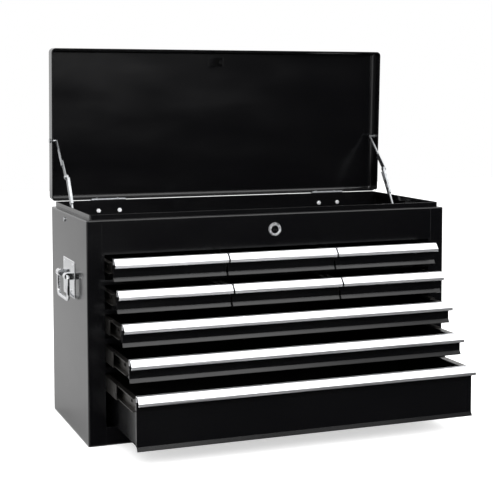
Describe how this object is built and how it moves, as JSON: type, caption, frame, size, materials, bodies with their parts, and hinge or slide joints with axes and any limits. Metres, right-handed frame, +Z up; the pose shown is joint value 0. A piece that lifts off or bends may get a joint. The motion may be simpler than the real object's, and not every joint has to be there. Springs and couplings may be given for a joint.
{
  "type": "machinist tool chest",
  "caption": "Folded-steel tool chest with a hinged lid over a top tray, drawers on slides with full-width pulls, two lid stays, drop handles and a cam lock",
  "frame": {"origin": "under the middle of the cabinet, on the flat base face", "axes": "+X to the right seen from the front, -Y out of the drawer fronts, +Z up"},
  "size_m": [0.649, 0.4462, 0.6138],
  "materials": {
    "cabinet_enamel": "gloss black baked enamel on folded steel sheet",
    "drawer_enamel": "gloss black baked enamel on folded steel sheet",
    "handle_enamel": "gloss black enamel on pressed steel",
    "pull_aluminium": "bright anodised extrusion",
    "slide_zinc": "zinc-plated rolled steel",
    "stay_zinc": "zinc-plated steel rod and strip",
    "hinge_steel": "zinc-plated steel",
    "lock_chrome": "polished chrome plate"
  },
  "bodies": {
    "cabinet": {"body_wrap": "cabinet_enamel", "base_pan": "cabinet_enamel", "front_fascia": "cabinet_enamel", "bottom_rail": "cabinet_enamel", "tray_floor": "cabinet_enamel", "row_rails": "cabinet_enamel", "drawer_dividers": "cabinet_enamel", "slide_uprights": "cabinet_enamel", "slide_outer_rails": "slide_zinc", "hinge_body_leaves": "hinge_steel", "hinge_pins": "hinge_steel", "hinge_screws": "hinge_steel", "lock_housing": "lock_chrome", "lock_nut": "lock_chrome", "handle_plates": "handle_enamel", "handle_rivets": "handle_enamel"},
    "lid": {"lid_pan": "cabinet_enamel", "hinge_lid_leaves": "hinge_steel", "hinge_lid_rivets": "hinge_steel", "lid_catch": "stay_zinc"},
    "stay_lower_left": {"stay_lower_left": "stay_zinc"},
    "stay_upper_left": {"stay_upper_left": "stay_zinc"},
    "bail_left": {"handle_bail_left": "handle_enamel"},
    "stay_lower_right": {"stay_lower_right": "stay_zinc"},
    "stay_upper_right": {"stay_upper_right": "stay_zinc"},
    "bail_right": {"handle_bail_right": "handle_enamel"},
    "lock_plug": {"lock_plug": "lock_chrome"},
    "drawer_1_left": {"tray_1_left": "drawer_enamel", "pull_1_left": "pull_aluminium", "runners_1_left": "slide_zinc"},
    "drawer_1_mid": {"tray_1_mid": "drawer_enamel", "pull_1_mid": "pull_aluminium", "runners_1_mid": "slide_zinc"},
    "drawer_1_right": {"tray_1_right": "drawer_enamel", "pull_1_right": "pull_aluminium", "runners_1_right": "slide_zinc"},
    "drawer_2_left": {"tray_2_left": "drawer_enamel", "pull_2_left": "pull_aluminium", "runners_2_left": "slide_zinc"},
    "drawer_2_mid": {"tray_2_mid": "drawer_enamel", "pull_2_mid": "pull_aluminium", "runners_2_mid": "slide_zinc"},
    "drawer_2_right": {"tray_2_right": "drawer_enamel", "pull_2_right": "pull_aluminium", "runners_2_right": "slide_zinc"},
    "drawer_3": {"tray_3": "drawer_enamel", "pull_3": "pull_aluminium", "runners_3": "slide_zinc"},
    "carrier_3": {"carriers_3": "slide_zinc"},
    "drawer_4": {"tray_4": "drawer_enamel", "pull_4": "pull_aluminium", "runners_4": "slide_zinc"},
    "carrier_4": {"carriers_4": "slide_zinc"},
    "drawer_5": {"tray_5": "drawer_enamel", "pull_5": "pull_aluminium", "runners_5": "slide_zinc"},
    "carrier_5": {"carriers_5": "slide_zinc"}
  },
  "joints": [
    {"name": "lid_hinge", "type": "hinge", "parent": "cabinet", "child": "lid", "pos_m": [0, 0.13, 0.3555], "axis": [1, 0, 0], "range_deg": [0, 87.7]},
    {"name": "stay_foot_left", "type": "hinge", "parent": "cabinet", "child": "stay_lower_left", "pos_m": [-0.305, 0.025, 0.335], "axis": [1, 0, 0], "range_deg": [0, 120.88]},
    {"name": "stay_head_left", "type": "hinge", "parent": "lid", "child": "stay_upper_left", "pos_m": [-0.305, 0.13241, 0.45748], "axis": [-1, 0, 0], "range_deg": [0, 114.93]},
    {"name": "bail_swing_left", "type": "hinge", "parent": "cabinet", "child": "bail_left", "pos_m": [-0.315, -0.012, 0.2505], "axis": [0, 1, 0], "range_deg": [0, 90]},
    {"name": "stay_foot_right", "type": "hinge", "parent": "cabinet", "child": "stay_lower_right", "pos_m": [0.305, 0.025, 0.335], "axis": [1, 0, 0], "range_deg": [0, 120.88]},
    {"name": "stay_head_right", "type": "hinge", "parent": "lid", "child": "stay_upper_right", "pos_m": [0.305, 0.13241, 0.45748], "axis": [-1, 0, 0], "range_deg": [0, 114.93]},
    {"name": "bail_swing_right", "type": "hinge", "parent": "cabinet", "child": "bail_right", "pos_m": [0.315, -0.012, 0.2505], "axis": [0, -1, 0], "range_deg": [0, 90]},
    {"name": "lock_turn", "type": "hinge", "parent": "cabinet", "child": "lock_plug", "pos_m": [0, -0.1275, 0.3218], "axis": [0, -1, 0], "range_deg": [0, 90]},
    {"name": "drawer_slide_1_left", "type": "slide", "parent": "cabinet", "child": "drawer_1_left", "axis": [0, -1, 0], "range_m": [-0.03, 0.125]},
    {"name": "drawer_slide_1_mid", "type": "slide", "parent": "cabinet", "child": "drawer_1_mid", "axis": [0, -1, 0], "range_m": [-0.03, 0.125]},
    {"name": "drawer_slide_1_right", "type": "slide", "parent": "cabinet", "child": "drawer_1_right", "axis": [0, -1, 0], "range_m": [-0.03, 0.125]},
    {"name": "drawer_slide_2_left", "type": "slide", "parent": "cabinet", "child": "drawer_2_left", "axis": [0, -1, 0], "range_m": [-0.05, 0.105]},
    {"name": "drawer_slide_2_mid", "type": "slide", "parent": "cabinet", "child": "drawer_2_mid", "axis": [0, -1, 0], "range_m": [-0.05, 0.105]},
    {"name": "drawer_slide_2_right", "type": "slide", "parent": "cabinet", "child": "drawer_2_right", "axis": [0, -1, 0], "range_m": [-0.05, 0.105]},
    {"name": "drawer_slide_3", "type": "slide", "parent": "cabinet", "child": "drawer_3", "axis": [0, -1, 0], "range_m": [-0.0795, 0.1355]},
    {"name": "carrier_slide_3", "type": "slide", "parent": "cabinet", "child": "carrier_3", "axis": [0, -1, 0], "range_m": [-0.03975, 0.06775]},
    {"name": "drawer_slide_4", "type": "slide", "parent": "cabinet", "child": "drawer_4", "axis": [0, -1, 0], "range_m": [-0.117, 0.098]},
    {"name": "carrier_slide_4", "type": "slide", "parent": "cabinet", "child": "carrier_4", "axis": [0, -1, 0], "range_m": [-0.0585, 0.049]},
    {"name": "drawer_slide_5", "type": "slide", "parent": "cabinet", "child": "drawer_5", "axis": [0, -1, 0], "range_m": [-0.154, 0.061]},
    {"name": "carrier_slide_5", "type": "slide", "parent": "cabinet", "child": "carrier_5", "axis": [0, -1, 0], "range_m": [-0.077, 0.0305]}
  ],
  "couplings": [
    {"joint": "stay_foot_left", "follows": "lid_hinge", "ratio": 1.3784},
    {"joint": "stay_head_left", "follows": "lid_hinge", "ratio": 1.3105},
    {"joint": "stay_foot_right", "follows": "lid_hinge", "ratio": 1.3784},
    {"joint": "stay_head_right", "follows": "lid_hinge", "ratio": 1.3105},
    {"joint": "carrier_slide_3", "follows": "drawer_slide_3", "ratio": 0.5},
    {"joint": "carrier_slide_4", "follows": "drawer_slide_4", "ratio": 0.5},
    {"joint": "carrier_slide_5", "follows": "drawer_slide_5", "ratio": 0.5}
  ]
}
